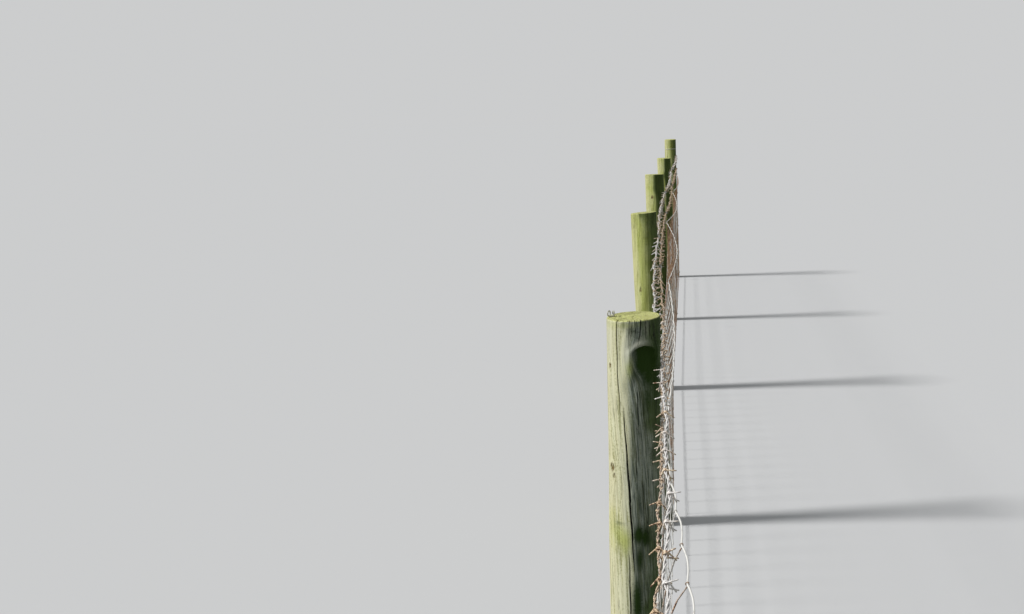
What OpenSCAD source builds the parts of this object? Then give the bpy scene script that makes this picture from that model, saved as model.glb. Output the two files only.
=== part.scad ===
// Stock fence: round wooden posts with two strands of barbed wire over hinge-joint field netting.
// X runs along the fence, the wires are on the -Y side and Z is up.
// The origin is the middle of the first post's foot, at ground level. Sizes are millimetres and degrees.

/* [Run of fence] */
// Number of bays
bay_count = 5; // [1:1:5]
// Distance from one post's centre to the next
bay_length = 2200; // [1800:50:3000]
// Wire left past the centre of each end post
wire_tail = 80; // [70:5:150]
// Space between a wire and the post that it passes
seat_gap = 0.3; // [0.1:0.1:1]

/* [Posts] */
// Height of the posts above the ground
post_height = 1200; // [1150:10:1500]
// Diameter of the posts at the ground
post_foot_d = 105; // [90:1:130]
// Diameter of the posts at the top
post_top_d = 100; // [80:1:120]
// Slope of the sawn tops
saw_slope = 2.5; // [0:0.5:4]
// Width of the worn edge round the sawn tops
edge_wear = 4; // [1:0.5:8]

/* [Drying checks and scar] */
// Depth of a long drying check at its middle
check_depth = 20; // [8:1:30]
// Width of a long drying check at its middle
check_width = 4; // [2:0.5:6]
// Radius of the trimmed branch scar's round upper end
scar_r = 26; // [12:1:30]
// Depth of the scar under its upper end
scar_depth = 8; // [4:1:14]
// Length of the scar down the post
scar_length = 84; // [50:1:110]
// Distance from the post's top down to the scar
scar_drop = 45; // [35:1:120]

/* [Barbed strands] */
// Height of the second strand above the netting
second_strand_rise = 50; // [40:1:70]
// Height of the top strand above the second strand
top_strand_rise = 113; // [90:1:130]
// Diameter of a strand, which is a twisted pair of wires
strand_d = 5; // [4:0.2:6]
// Distance between barbs
barb_spacing = 100; // [75:5:150]
// Distance from a strand's centre to a barb's point
barb_reach = 17; // [12:1:24]
// Thickness of a barb's wire
barb_wire_d = 2.2; // [1.6:0.1:3]
// Length of a barb's coils along the strand
barb_coil_length = 9; // [5:0.5:14]

/* [Field netting] */
// Height of the bottom line wire
net_foot_z = 45; // [30:5:70]
// Height of the netting from its bottom wire to its top wire
net_height = 900; // [600:10:920]
// Number of line wires
line_count = 8; // [5:1:10]
// How many times the lowest gap the highest gap between line wires is
gap_ratio = 2; // [1:0.1:3]
// Distance between upright stay wires
stay_spacing = 150; // [100:10:300]
// Diameter of the top and bottom line wires
edge_wire_d = 3.2; // [2.5:0.1:4]
// Diameter of the other line wires and the stays
net_wire_d = 2.6; // [2:0.1:3.2]
// Thickness of a hinge joint
joint_d = 7; // [5:0.5:10]
// Length of a hinge joint along its line wire
joint_length = 11; // [6:1:16]

/* [Staples and ties] */
// Diameter of a staple's wire
staple_wire_d = 4; // [3:0.2:5]
// Depth that a staple's legs are driven
staple_drive = 30; // [15:1:40]
// Turn of a staple from upright, so that its legs don't split the grain
staple_turn = 20; // [0:5:40]
// Diameter of the tie wires
tie_wire_d = 2.5; // [2:0.1:3.5]
// Radius of the loops of tie wire left on the second post
loop_r = 5; // [4:0.5:8]

/* [Hidden] */
last_post = bay_count;

// What each post has of its own: lean and shift towards +Y, share of the girth, and extra height
post_lean_angle = [0.3, 0.4, 3, 2.4, 2.2, 1.5];
post_shift = post_top_d * [0, -0.015, -0.04, 0.2, 0.08, 0];
post_girth_ratio = [0.97, 1.01, 0.95, 1.02, 0.98, 1];
post_extra = post_height * [0.005, 0.004, 0.003, 0.01, -0.003, 0.05];

// How the wires stray from a straight line at the middle of each bay
strand_bow = bay_length * [0.011, -0.0075, -0.0055, 0.002, 0.002];
strand_sag = bay_length * [0.0055, 0.0045, 0.004, 0.0055, 0.0035];
second_bow = bay_length * [0.0035, 0.003, -0.0035, 0.0035, -0.002];
second_sag = bay_length * [0.007, 0.0065, 0.008, 0.0055, 0.007];
net_bulge = bay_length * [0.027, 0.01, 0.02, 0.02, 0.014];
net_sag = bay_length * [0.0065, 0.0045, 0.0055, 0.007, 0.0045];
// How far the net has been pushed in at half its height
net_belly = bay_length * [0.012, 0.009, 0, 0, 0.004];
// How far the net's top wire hangs off each post
net_hang = post_top_d * [0, 0, 0.28, 0, 0, 0];
// Where the first stay of a bay stands, as a share of the distance between stays
stay_phase = 0.63;
// How much a barb turns from one to the next, because the strand's lay isn't quite in step with them
barb_turn = 9;

wood_grey = [0.66, 0.66, 0.55];
zinc_grey = [0.72, 0.73, 0.74];
rust_brown = [0.48, 0.30, 0.22];

round_fn = 48;
wire_sides = 4;
spike_sides = 3;
staple_sides = 8;
// How far a wire's pieces run into one another, and how much a bar stops short inside a joint
wire_overlap = 0.5;

// Posts

function post_x(i) = i * bay_length;
function post_top(i) = post_height + post_extra[i];
function post_radius(i, z) =
    post_girth_ratio[i] * (post_foot_d + (post_top_d - post_foot_d) * z / post_height) / 2;
// The compass angle that a sawn top falls towards, and the top's height over a point
function saw_turn(i) = 116 - 75 * (i - scar_index);
function sawn_z(i, x, y) =
    post_top(i) - tan(saw_slope)
    * (post_radius(i, post_top(i)) + x * cos(saw_turn(i)) + y * sin(saw_turn(i)));
// The point of a post's -Y face at a height
function post_face(i, z) =
    [post_x(i), post_shift[i] + z * tan(post_lean_angle[i]) - post_radius(i, z) / cos(post_lean_angle[i]), z];

// A slot as a drying crack leaves it: deepest and widest at its middle, and run out at both ends
module check_cut(length, depth, width) {
    reach = (length * length / 4 + depth * depth) / (2 * depth);
    translate([reach - depth, 0, 0])
    rotate([90, 0, 0])
    for (side = [0, 1])
        mirror([0, 0, side])
        cylinder(h = width / 2, r1 = reach, r2 = reach - depth, $fn = round_fn);
}

// Puts a check on post i. Its middle and length are shares of the post's height, and grain is its slant
module place_check(i, facing, middle, length, grain, share) {
    z = middle * post_height;
    rotate([0, 0, facing])
    translate([post_radius(i, z), 0, z])
    rotate([grain, 0, 0])
    check_cut(length * post_height, share * check_depth, share * check_width);
}

// A branch trimmed off too deep: an arched upper lip whose floor runs out to the surface below
module scar_cut(i) {
    z_top = post_top(i) - scar_drop;
    floor_tilt = atan(scar_depth / (scar_length - scar_r));
    rotate([0, 0, scar_angle])
    translate([post_radius(i, z_top) - scar_depth, 0, z_top - scar_r])
    rotate([0, 90 - floor_tilt, 0]) {
        cylinder(h = 4 * scar_depth, r = scar_r, $fn = round_fn);
        translate([0, -scar_r, 0])
            cube([scar_length, 2 * scar_r, 4 * scar_depth]);
    }
}
scar_index = 1;
scar_angle = 206;

// Each row: compass angle from +X, middle, length, slant, and share of the full depth and width
scar_post_checks = [
    [146, 0.95, 0.2, 3, 0.65],
    [170.5, 0.725, 0.28, 3, 0.9],
    [169, 0.54, 0.16, 1, 0.6],
    [70, 0.55, 0.4, 3, 1],
    [285, 0.4, 0.35, 3, 0.8]
];
other_post_checks = [
    [165, 0.7, 0.44, -3, 0.9],
    [20, 0.45, 0.5, -2, 1],
    [95, 0.3, 0.32, -2, 0.7]
];
// How much further round its checks are from one post to the next
check_turn = 67;

module post_checks(i)
    for (c = i == scar_index ? scar_post_checks : other_post_checks)
        place_check(i, c[0] + (i == scar_index ? 0 : check_turn * i), c[1], c[2], c[3], c[4]);

// Moves what stands on the origin into a leaning post's place
module on_post(i)
    translate([post_x(i), post_shift[i], 0])
    rotate([-post_lean_angle[i], 0, 0])
    children();

module post_log(i) {
    r_foot = post_radius(i, 0);
    r_top = post_radius(i, post_top(i));
    rotate_extrude($fn = round_fn)
    polygon([
        [0, -post_foot_d],
        [r_foot, -post_foot_d],
        [r_foot, 0],
        [r_top, post_top(i) - edge_wear],
        [r_top - 0.4 * edge_wear, post_top(i)],
        [0, post_top(i)],
        ]);
}

module post(i) {
    saw_size = 3 * post_foot_d;
    color(wood_grey)
    difference() {
        on_post(i)
        difference() {
            post_log(i);
            post_checks(i);
            if (i == scar_index) scar_cut(i);
            translate([0, 0, sawn_z(i, 0, 0)])
            rotate([0, 0, saw_turn(i)])
            rotate([0, saw_slope, 0])
            translate([-saw_size / 2, -saw_size / 2, 0])
            cube(saw_size);
        }
        // The ground
        translate([post_x(i) - saw_size / 2, post_shift[i] - saw_size / 2, -saw_size])
        cube(saw_size);
        staples(i);
        if (i == scar_index) loop_tail();
    }
}

// Wires

second_strand_z = net_foot_z + net_height + second_strand_rise;
top_strand_z = second_strand_z + top_strand_rise;

// A bar of wire from a to b, made longer or shorter by a length at each end
module bar(a, b, d, start = 0, end = 0, sides = wire_sides) {
    run = b - a;
    translate(a)
    rotate([0, acos(run.z / norm(run)), atan2(run.y, run.x)])
    translate([0, 0, -start])
    cylinder(h = norm(run) + start + end, d = d, $fn = sides);
}

function wire_on_post(i, z, d) = post_face(i, z) - [0, d / 2 + seat_gap, 0];

// A point of a wire in bay i: share is 0 at the bay's first post and 1 at its second
function in_bay(i, share, z, d, bow, sag) =
    (1 - share) * wire_on_post(i, z, d) + share * wire_on_post(i + 1, z, d)
    - sin(180 * share) * [0, bow, sag];

// Barbed strands

barbs_in_bay = round(bay_length / barb_spacing);

// A four-point barb: two short wires crossing the strand, wound round it by their middles
module barb(p, turn) {
    coil_d = strand_d + barb_wire_d;
    translate(p)
    rotate([turn, 0, 0])
    union() {
        cube([barb_coil_length, coil_d, coil_d], center = true);
        for (side = [-1, 1])
            translate([side * (barb_coil_length / 2 - barb_wire_d), 0, 0])
            rotate([38 * side + 8, 12 * side, 0])
                cylinder(h = 2 * barb_reach, d = barb_wire_d, center = true, $fn = spike_sides);
    }
}

module barbed_strand(z, bows, sags, first_turn)
    union() {
        for (i = [0 : bay_count - 1])
            union() {
                barbs = [for (k = [0 : barbs_in_bay - 1])
                    in_bay(i, (k + 0.5) / barbs_in_bay, z, strand_d, bows[i], sags[i])];
                first = wire_on_post(i, z, strand_d);
                last = wire_on_post(i + 1, z, strand_d);
                bar(first, barbs[0], strand_d, wire_overlap, -wire_overlap);
                for (k = [1 : barbs_in_bay - 1])
                    bar(barbs[k - 1], barbs[k], strand_d, -wire_overlap, -wire_overlap);
                bar(barbs[barbs_in_bay - 1], last, strand_d, -wire_overlap, wire_overlap);
                for (k = [0 : barbs_in_bay - 1])
                    barb(barbs[k], first_turn + barb_turn * k);
            }
        start = wire_on_post(0, z, strand_d);
        end = wire_on_post(bay_count, z, strand_d);
        bar(start - [wire_tail, 0, 0], start, strand_d, 0, wire_overlap);
        bar(end, end + [wire_tail, 0, 0], strand_d, wire_overlap, 0);
    }

module top_barbed_strand()
    color(zinc_grey)
    barbed_strand(top_strand_z, strand_bow, strand_sag, 10);

module second_barbed_strand()
    color(rust_brown)
    barbed_strand(second_strand_z, second_bow, second_sag, 35);

// Field netting

top_line = line_count - 1;
stays_in_bay = round(bay_length / stay_spacing);

function gaps_below(j) = j + (gap_ratio - 1) * j * (j - 1) / 2 / (line_count - 2);
function line_z(j) = net_foot_z + net_height * gaps_below(j) / gaps_below(top_line);
function line_d(j) = j == 0 || j == top_line ? edge_wire_d : net_wire_d;
// The top line wire is slack and bulges between posts, and the lower ones are nearly taut
function looseness(j) = pow(j / top_line, 14);
// A pushed net is furthest in at the middle line wires
function push(j) = 4 * j / top_line * (1 - j / top_line);
// Only the top line wire hangs off a post
function hang(i, j) = j == top_line ? net_hang[i] : 0;

function net_point(i, share, j) =
    in_bay(i, share, line_z(j), line_d(j),
        net_bulge[i] * looseness(j) - net_belly[i] * push(j), net_sag[i] * looseness(j))
    - [0, (1 - share) * hang(i, j) + share * hang(i + 1, j), 0];

module netting(i) {
    // A gap parts this bay from the next, and at an end post the wires run on straight
    near_end = i == 0 ? wire_tail : -seat_gap / 2;
    far_end = i == bay_count - 1 ? wire_tail : -seat_gap / 2;
    shares = [for (k = [0 : stays_in_bay - 1]) (k + stay_phase) / stays_in_bay];
    // A stay stops short of the line wire inside each joint
    inset = edge_wire_d / 2 + wire_overlap;
    color(rust_brown)
    union() {
        for (j = [0 : top_line])
            union() {
                joints = [for (s = shares) net_point(i, s, j)];
                bar(net_point(i, 0, j), joints[0], line_d(j), near_end, -wire_overlap);
                for (k = [1 : stays_in_bay - 1])
                    bar(joints[k - 1], joints[k], line_d(j), -wire_overlap, -wire_overlap);
                bar(joints[stays_in_bay - 1], net_point(i, 1, j), line_d(j), -wire_overlap, far_end);
                for (p = joints)
                    translate(p)
                        cube([joint_length, joint_d, joint_d], center = true);
            }
        for (s = shares)
            for (j = [0 : top_line - 1])
                bar(net_point(i, s, j), net_point(i, s, j + 1), net_wire_d, -inset, -inset);
    }
}

// Staples and ties

// A turned staple still clears the wire under it
staple_r = ((strand_d + staple_wire_d) / 2 + seat_gap) / cos(staple_turn);

// A staple over a wire of diameter d that crosses post i at height z
module staple(i, z, d)
    translate(wire_on_post(i, z, d))
    rotate([-post_lean_angle[i], 0, 0])
    rotate([0, staple_turn, 0]) {
        rotate([0, 90, 0])
        rotate([0, 0, 180])
        rotate_extrude(angle = 180, $fn = round_fn)
        translate([staple_r, 0])
        rotate(180 / staple_sides)
        circle(d = staple_wire_d, $fn = staple_sides);
        for (side = [-1, 1])
            translate([0, 0, side * staple_r])
            rotate([-90, 0, 0])
            rotate([0, 0, 180 / staple_sides])
            cylinder(h = staple_drive + d / 2 + seat_gap, d = staple_wire_d, $fn = staple_sides);
    }

// Every second line wire is stapled, and the top one too unless it hangs off the post
module staples(i)
    color(zinc_grey)
    union() {
        staple(i, top_strand_z, strand_d);
        staple(i, second_strand_z, strand_d);
        for (j = [0 : 2 : top_line - 1])
            staple(i, line_z(j), line_d(j));
        if (net_hang[i] == 0)
            staple(i, line_z(top_line), line_d(top_line));
    }

// A ring of plain wire round one post, near its top
ring_post = last_post;
ring_drop = 86;

module tie_wire_ring() {
    z = post_top(ring_post) - ring_drop;
    r = post_radius(ring_post, z - tie_wire_d) + tie_wire_d / 2 + seat_gap;
    color(zinc_grey)
    on_post(ring_post)
    translate([0, 0, z])
    rotate_extrude($fn = round_fn)
    translate([r, 0])
    circle(d = tie_wire_d, $fn = round_fn / 2);
}

// Two loops of old tie wire on the scarred post's top edge, whose tail is let into the wood
loop_tail_length = 30;
loop_spread = 9;

module on_scar_post_top() {
    y = post_radius(scar_index, post_height) - edge_wear - loop_spread;
    on_post(scar_index)
    translate([0, y, sawn_z(scar_index, 0, y) + seat_gap + tie_wire_d / 2])
    children();
}

module loop_tail()
    on_scar_post_top()
    translate([0, 0, -loop_tail_length])
    rotate(180 / staple_sides)
    cylinder(h = loop_tail_length, d = tie_wire_d, $fn = staple_sides);

module tie_wire_loops()
    color(zinc_grey)
    union() {
        loop_tail();
        on_scar_post_top() {
            for (k = [0, 1])
                translate([0, k * loop_spread, loop_r])
                rotate([90, 0, 20 - 45 * k])
                rotate_extrude($fn = round_fn)
                translate([loop_r, 0])
                circle(d = tie_wire_d, $fn = round_fn / 2);
            translate([0, -tie_wire_d / 2, 0])
            rotate([-90, 0, 0])
            rotate(180 / staple_sides)
            cylinder(h = loop_spread + tie_wire_d, d = tie_wire_d, $fn = staple_sides);
        }
    }

for (i = [0 : last_post])
    post(i);
top_barbed_strand();
second_barbed_strand();
for (i = [0 : bay_count - 1])
    netting(i);
for (i = [0 : last_post])
    staples(i);
tie_wire_loops();
tie_wire_ring();
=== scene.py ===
import math

import bpy
import numpy as np
from mathutils import Matrix, Vector


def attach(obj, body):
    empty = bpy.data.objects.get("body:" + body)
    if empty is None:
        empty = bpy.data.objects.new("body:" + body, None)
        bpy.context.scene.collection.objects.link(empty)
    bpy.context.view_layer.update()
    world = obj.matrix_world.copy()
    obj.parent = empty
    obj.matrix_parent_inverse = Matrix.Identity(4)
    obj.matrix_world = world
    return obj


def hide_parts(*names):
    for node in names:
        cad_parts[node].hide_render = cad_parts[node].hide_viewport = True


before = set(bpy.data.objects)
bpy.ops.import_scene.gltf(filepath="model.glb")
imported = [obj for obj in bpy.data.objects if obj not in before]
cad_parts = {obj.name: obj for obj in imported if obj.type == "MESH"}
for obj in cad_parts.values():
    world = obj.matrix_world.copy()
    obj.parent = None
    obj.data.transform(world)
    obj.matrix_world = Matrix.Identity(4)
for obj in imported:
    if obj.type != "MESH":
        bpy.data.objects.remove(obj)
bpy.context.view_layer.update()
scene = bpy.context.scene
scene.view_settings.view_transform = "Standard"
mm = 0.001

# the run of fence, in millimetres and degrees, as the solids have it
fence = {
    "bays": 5,
    "bayLength": 2200,
    "tail": 80,             # wire past each end post's centre
    "gap": 0.3,             # between a wire and its post
    "height": 1200,
    "footDiameter": 105,
    "topDiameter": 100,
    "sawSlope": 2.5,
    "edgeWear": 4,
    "lean": [0.3, 0.4, 3, 2.4, 2.2, 1.5],           # of each post, towards +Y
    "shift": [0, -1.5, -4, 20, 8, 0],               # of each post's foot, towards +Y
    "girth": [0.97, 1.01, 0.95, 1.02, 0.98, 1],     # of each post, as a share of the diameters
    "extra": [6, 4.8, 3.6, 12, -3.6, 60],           # of each post, over the plain height
    "strands": [1108, 995],                         # heights of the two barbed strands
}


def postTop(i):
    return fence["height"] + fence["extra"][i]


# radius of post i: a straight taper from foot to top, times its own girth
def postRadius(i, z):
    taper = (fence["topDiameter"] - fence["footDiameter"]) * z / fence["height"]
    return fence["girth"][i] * (fence["footDiameter"] + taper) / 2


# point of the leaning post's -Y face at height z, one wire radius and the gap off it
def onPost(i, z, wire):
    lean = math.radians(fence["lean"][i])
    y = fence["shift"][i] + z * math.tan(lean) - postRadius(i, z) / math.cos(lean)
    return np.array([i * fence["bayLength"], y - wire / 2 - fence["gap"], z])


# wire between two posts: a straight line, less a half sine of bow towards -Y and of sag, both
# thousandths of the bay
def inBay(i, share, z, wire, bow, sag):
    share = np.asarray(share, float)[..., None]
    straight = (1 - share) * onPost(i, z, wire) + share * onPost(i + 1, z, wire)
    return straight - np.sin(math.pi * share) * np.array([0, bow, sag]) * fence["bayLength"] / 1000


# netting sizes
netting = {
    "footZ": 45,
    "height": 900,
    "lines": 8,
    "growth": 2,            # top gap between line wires over the bottom one
    "stay": 150,
    "edgeWire": 3.2,
    "wire": 2.6,
    "crimp": 1.5,
    "wraps": 1.25,          # turns of a stay's end round a line wire
    "wrapPitch": 2.4,
    "wrapWire": 2.0,
    "wrapStart": 0.9,       # along the line, from the stay's middle
    "wrapBite": 0.1,        # how far it presses into the line wire
    "wrapStations": 9,
    "stapled": [0, 2, 4, 6, 7],     # line wires that are stapled to the posts
    "stayPhase": 0.63,      # of the distance between stays, from a post to its first stay
    "pull": [5, 2, 2, 3, 3],            # how far a stay draws the slack top wire in, bay by bay
    "kink": [3, 1.5, 1.5, 2, 2],        # and down
    "lean": 14.4,           # how far the stays of the top cells bend in, at most
    # thousandths of the bay: the top wire's bulge and sag, and how far the middle is pushed in
    "bulge": [27, 10, 20, 20, 14],
    "sag": [6.5, 4.5, 5.5, 7, 4.5],
    "belly": [12, 9, 0, 0, 4],
    "hang": [0, 0, 28, 0, 0, 0],        # how far the top wire hangs off each post
    "rust": [0.08, 0.08, 0.38, 0.38, 0.36],
    "topRust": [0.25, 0.05, 0.25, 0.25, 0.25],      # more of it, on the stays under the top wire
    "topWireRust": -0.3,    # rust of the slack top wire itself, which has kept its zinc
    "sway": 1.3,            # stray of the stays' middles
    "lineSides": 6,
    "staySides": 4,
    "cellStations": 14,
    "endGap": 0.15,         # from a bay's wire ends to the post's middle
}
topLine = netting["lines"] - 1


# height of line wire j: each gap is wider than the one below it by the same amount
def lineZ(j):
    def gapsBelow(n):       # in widths of the lowest gap
        return n + (netting["growth"] - 1) * n * (n - 1) / 2 / (netting["lines"] - 2)
    return netting["footZ"] + netting["height"] * gapsBelow(j) / gapsBelow(topLine)


def lineWire(j):
    return netting["edgeWire"] if j in (0, topLine) else netting["wire"]


# meshes from arrays
# vectors over their own lengths
def unit(v):
    return v / np.linalg.norm(v, axis=-1, keepdims=True)


# from 0 at low to 1 at high, with a smooth start and stop
def ease(value, low=0.0, high=1.0):
    t = np.clip((value - low) / (high - low), 0, 1)
    return t * t * (3 - 2 * t)


# a piece from its points: faceSets are arrays of corner numbers, one row a face, and values are
# numbers or vectors per point
def meshPiece(name, points, faceSets, nodes, values, finish):
    points = np.asarray(points, float).reshape(-1, 3) * mm
    corners = np.concatenate([f.reshape(-1) for f in faceSets]).astype(np.int32)
    totals = np.concatenate([np.full(len(f), f.shape[-1]) for f in faceSets]).astype(np.int32)
    mesh = bpy.data.meshes.new(name)
    mesh.vertices.add(len(points))
    mesh.vertices.foreach_set("co", points.ravel())
    mesh.loops.add(len(corners))
    mesh.loops.foreach_set("vertex_index", corners)
    mesh.polygons.add(len(totals))
    mesh.polygons.foreach_set("loop_start", np.concatenate([[0], np.cumsum(totals)[:-1]]).astype(np.int32))
    mesh.polygons.foreach_set("loop_total", totals)
    mesh.polygons.foreach_set("use_smooth", np.ones(len(totals), bool))
    for key, value in values.items():
        value = np.asarray(value, float)
        kind, field = ("FLOAT", "value") if value.ndim == 1 else ("FLOAT_VECTOR", "vector")
        mesh.attributes.new(key, kind, "POINT").data.foreach_set(field, value.ravel())
    mesh.update(calc_edges=True)
    mesh.materials.append(finish)
    piece = bpy.data.objects.new(name, mesh)
    scene.collection.objects.link(piece)
    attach(piece, "root")
    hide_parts(*nodes)


# quads between neighbouring rows of a grid whose rows close on themselves
def ringQuads(rows, columns):
    a = np.arange(rows - 1)[:, None] * columns + np.arange(columns)
    b = np.arange(rows - 1)[:, None] * columns + (np.arange(columns) + 1) % columns
    return np.stack([a, b, b + columns, a + columns], -1).reshape(-1, 4)


# round tubes: a ring of points round every station of every path, set out from
# side, a vector square to the path, and from the path's direction crossed with it
def tubes(paths, side, radius, sides):
    paths = np.asarray(paths, float)
    count, stations = paths.shape[:2]
    along = unit(np.gradient(paths, axis=1))
    side = np.broadcast_to(np.asarray(side, float), paths.shape)
    side = unit(side - (side * along).sum(-1, keepdims=True) * along)
    other = np.cross(along, side)
    turn = 2 * math.pi * np.arange(sides) / sides
    radius = np.broadcast_to(np.asarray(radius, float), (count, stations))[:, :, None, None]
    ring = (side[:, :, None] * np.cos(turn)[:, None] + other[:, :, None] * np.sin(turn)[:, None]) * radius
    points = (paths[:, :, None] + ring).reshape(-1, 3)
    starts = np.arange(count)[:, None, None] * stations * sides
    quads = (ringQuads(stations, sides)[None] + starts).reshape(-1, 4)
    nearCap = np.arange(sides)[::-1][None] + starts[:, 0]
    farCap = np.arange(sides)[None] + (stations - 1) * sides + starts[:, 0]
    return points, [quads, nearCap, farCap]


# several sets of tubes as one mesh, each with its own values of rust and of darkening: real dirt on the
# netting, painted shade in the grooves of the barbed strands
def tubePiece(name, sets, nodes, finish):
    points, faces, rust, dirt, first = [], [], [], [], 0
    for (p, f), rusted, dirty in sets:
        points.append(p)
        faces += [part + first for part in f]
        rust.append(np.broadcast_to(np.asarray(rusted, float), (len(p),)))
        dirt.append(np.broadcast_to(np.asarray(dirty, float), (len(p),)))
        first += len(p)
    values = {"rust": np.concatenate(rust), "dirt": np.concatenate(dirt)}
    meshPiece(name, np.concatenate(points), faces, nodes, values, finish)


# shader maths
class Value:    # a node's output, on which +, - and * add Math nodes
    def __init__(self, shader, socket):
        self.shader, self.socket = shader, socket

    def math(self, operation, *others):
        sockets = dict(enumerate((self,) + others))
        return self.shader.add("ShaderNodeMath", {"operation": operation}, sockets)

    def __add__(self, other):
        return self.math("ADD", other)

    def __mul__(self, other):
        return self.math("MULTIPLY", other)

    def __sub__(self, other):
        return self.math("SUBTRACT", other)

    def __rsub__(self, other):
        return self.shader.add("ShaderNodeMath", {"operation": "SUBTRACT"}, {0: other, 1: self})

    __radd__ = __add__
    __rmul__ = __mul__


class Shader:
    def __init__(self, name):
        self.material = bpy.data.materials.new(name)
        self.material.use_nodes = True
        self.nodes = self.material.node_tree.nodes
        self.links = self.material.node_tree.links
        self.surface = self.nodes["Principled BSDF"]

    def put(self, node, key, value):
        if isinstance(value, Value):
            self.links.new(value.socket, node.inputs[key])
        elif isinstance(value, tuple) and len(value) == 3 and node.inputs[key].type == "RGBA":
            node.inputs[key].default_value = value + (1,)
        else:
            node.inputs[key].default_value = value

    def add(self, kind, settings=None, sockets=None, output=0):
        node = self.nodes.new(kind)
        for key, value in (settings or {}).items():
            setattr(node, key, value)
        for key, value in (sockets or {}).items():
            self.put(node, key, value)
        return Value(self, node.outputs[output])

    def place(self):
        return self.add("ShaderNodeTexCoord", output="Object")

    def attribute(self, name, output="Fac"):
        return self.add("ShaderNodeAttribute", {"attribute_name": name}, output=output)

    def stretch(self, vector, scale):
        return self.add("ShaderNodeVectorMath", {"operation": "MULTIPLY"}, {0: vector, 1: scale})

    def noise(self, vector, scale, detail, rough, distortion=0.0):
        return self.add("ShaderNodeTexNoise", None, {
            "Vector": vector, "Scale": scale, "Detail": detail, "Roughness": rough,
            "Distortion": distortion})

    def ramp(self, value, low, high, start=0.0, end=1.0):    # smooth step from start to end
        return self.add("ShaderNodeMapRange", {"interpolation_type": "SMOOTHSTEP", "clamp": True}, {
            "Value": value, "From Min": low, "From Max": high, "To Min": start, "To Max": end})

    def mix(self, share, a, b, blend="MIX"):
        settings = {"data_type": "RGBA", "blend_type": blend}
        return self.add("ShaderNodeMix", settings, {0: share, 6: a, 7: b}, output=2)

    def bump(self, height, strength, distance):
        return self.add("ShaderNodeBump", None, {
            "Height": height, "Strength": strength, "Distance": distance})

    def finish(self, **sockets):
        for key, value in sockets.items():
            self.put(self.surface, key.replace("_", " "), value)
        return self.material


# sRGB numbers from 0 to 255, as a colour picker shows them, to a linear colour
def colour(r, g, b):
    c = np.array([r, g, b]) / 255
    return tuple(float(v) for v in np.where(c <= 0.04045, c / 12.92, ((c + 0.055) / 1.055) ** 2.4))


# camera
view = {
    "place": (-0.07, -0.087, 1.608),    # in metres
    "left": 8.22,           # degrees
    "down": 9.62,
    "roll": 1.2,
    "lens": 42.1875,
    "sensor": 36,
    "nearest": 0.02,
}

camera = bpy.data.objects.new("camera", bpy.data.cameras.new("camera"))
camera.data.lens = view["lens"]
camera.data.sensor_width = view["sensor"]
camera.data.clip_start = view["nearest"]
yaw, pitch, roll = (math.radians(view[k]) for k in ("left", "down", "roll"))
forward = Vector((math.cos(yaw) * math.cos(pitch), math.sin(yaw) * math.cos(pitch), -math.sin(pitch)))
right = Vector((math.sin(yaw), -math.cos(yaw), 0))
up = right.cross(forward)
rolledRight = right * math.cos(roll) - up * math.sin(roll)
rolledUp = up * math.cos(roll) + right * math.sin(roll)
camera.matrix_world = Matrix.Translation(view["place"]) @ Matrix(
    (rolledRight, rolledUp, -forward)).transposed().to_4x4()
scene.collection.objects.link(camera)
scene.camera = camera
print("camera set")

# finishes
wood = {
    # sun-bleached wood, used also as painted light towards the edge of the sunlit side
    "bleachedAndLit": colour(242, 240, 204),
    "tan": colour(216, 213, 156),
    "dryTan": colour(224, 219, 180),    # where nothing grows on it
    "dullTan": colour(150, 148, 108),
    "paleGrey": colour(190, 196, 182),
    "darkGrey": colour(98, 108, 98),
    "green": colour(196, 205, 102),
    # algae, also painted shade on the side turned from the sun
    "algae": colour(84, 102, 54),
    # dark algae and stains, and also painted shade: in the scar's hollow and on the side turned from the
    # sun
    "darkAlgaeAndShade": colour(36, 58, 8),
    # near black: painted shade in the checks and hair cracks, and the dark rims of knots
    "crack": colour(22, 24, 16),
    "knot": colour(122, 104, 62),
    "dull": colour(186, 188, 160),      # multiplies the colour under it
    # pale wood, and a painted highlight on the scar's lip
    "paleAndHighlight": colour(214, 214, 196),
    "endGrain": colour(234, 233, 172),
    "endRing": colour(160, 153, 94),
    # soil at the foot, and painted shade in the drying cracks of the sawn end
    "soilAndShade": colour(72, 64, 46),
}


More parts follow.
